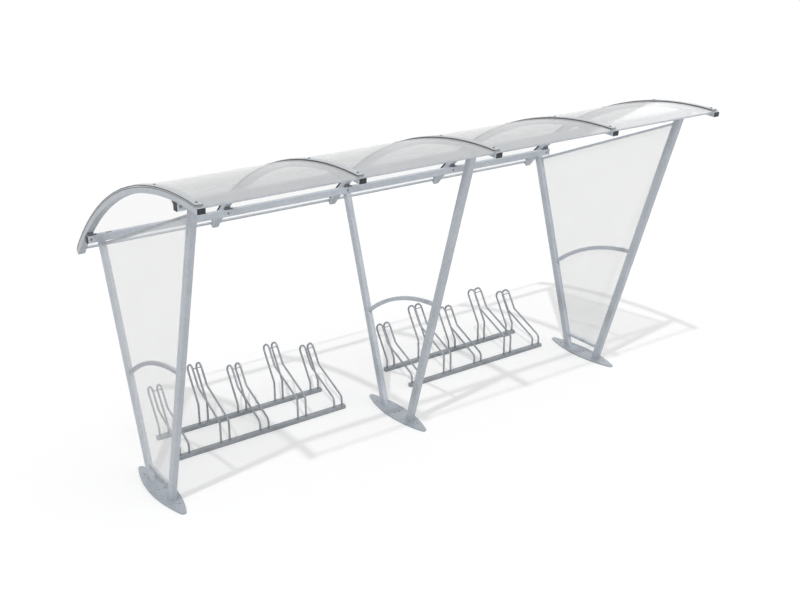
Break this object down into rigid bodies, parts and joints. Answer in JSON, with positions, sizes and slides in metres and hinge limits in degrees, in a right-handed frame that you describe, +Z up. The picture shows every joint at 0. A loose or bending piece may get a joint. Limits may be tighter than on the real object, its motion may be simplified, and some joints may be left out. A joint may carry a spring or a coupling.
{
  "type": "bike shelter",
  "caption": "Open bike shelter: leaning posts and beams carry an arched clear roof, with glazed ends and free-standing wheel racks.",
  "frame": {"origin": "on the ground, midway between the feet of the middle frame", "axes": "+X along the shelter, +Y to its closed back, where the roof comes down lowest, +Z up"},
  "size_m": [4.214, 2.0754, 2.3733],
  "materials": {
    "frame_steel": "satin",
    "rack_steel": "satin",
    "zinc_steel": "satin",
    "cover_aluminium": "satin",
    "clear_sheet": "gloss",
    "rubber_gasket": "matte",
    "plastic_cap": "matte"
  },
  "bodies": {
    "root": {"back_beam": "frame_steel", "back_edge_bars": "frame_steel", "back_post_left": "frame_steel", "back_post_middle": "frame_steel", "back_post_right": "frame_steel", "back_rib_cleats": "plastic_cap", "base_plates": "frame_steel", "beam_end_caps": "plastic_cap", "beam_joint_sleeves": "zinc_steel", "cover_strips": "cover_aluminium", "cross_bar_left": "frame_steel", "cross_bar_middle": "frame_steel", "cross_bar_right": "frame_steel", "front_beam": "frame_steel", "front_edge_bars": "frame_steel", "front_post_left": "frame_steel", "front_post_middle": "frame_steel", "front_post_right": "frame_steel", "front_rib_cleats": "zinc_steel", "rack_left_holder_1": "rack_steel", "rack_left_holder_2": "rack_steel", "rack_left_holder_3": "rack_steel", "rack_left_holder_4": "rack_steel", "rack_left_holder_5": "rack_steel", "rack_left_rails": "rack_steel", "rack_right_holder_1": "rack_steel", "rack_right_holder_2": "rack_steel", "rack_right_holder_3": "rack_steel", "rack_right_holder_4": "rack_steel", "rack_right_holder_5": "rack_steel", "rack_right_rails": "rack_steel", "rib_1": "frame_steel", "rib_2": "frame_steel", "rib_3": "frame_steel", "rib_4": "frame_steel", "rib_5": "frame_steel", "rib_end_caps": "plastic_cap", "roof_gaskets": "rubber_gasket", "roof_sheet_1": "clear_sheet", "roof_sheet_2": "clear_sheet", "roof_sheet_3": "clear_sheet", "roof_sheet_4": "clear_sheet", "side_pane_left": "clear_sheet", "side_pane_right": "clear_sheet", "side_rails_left": "frame_steel", "side_rails_right": "frame_steel"}
  },
  "joints": []
}
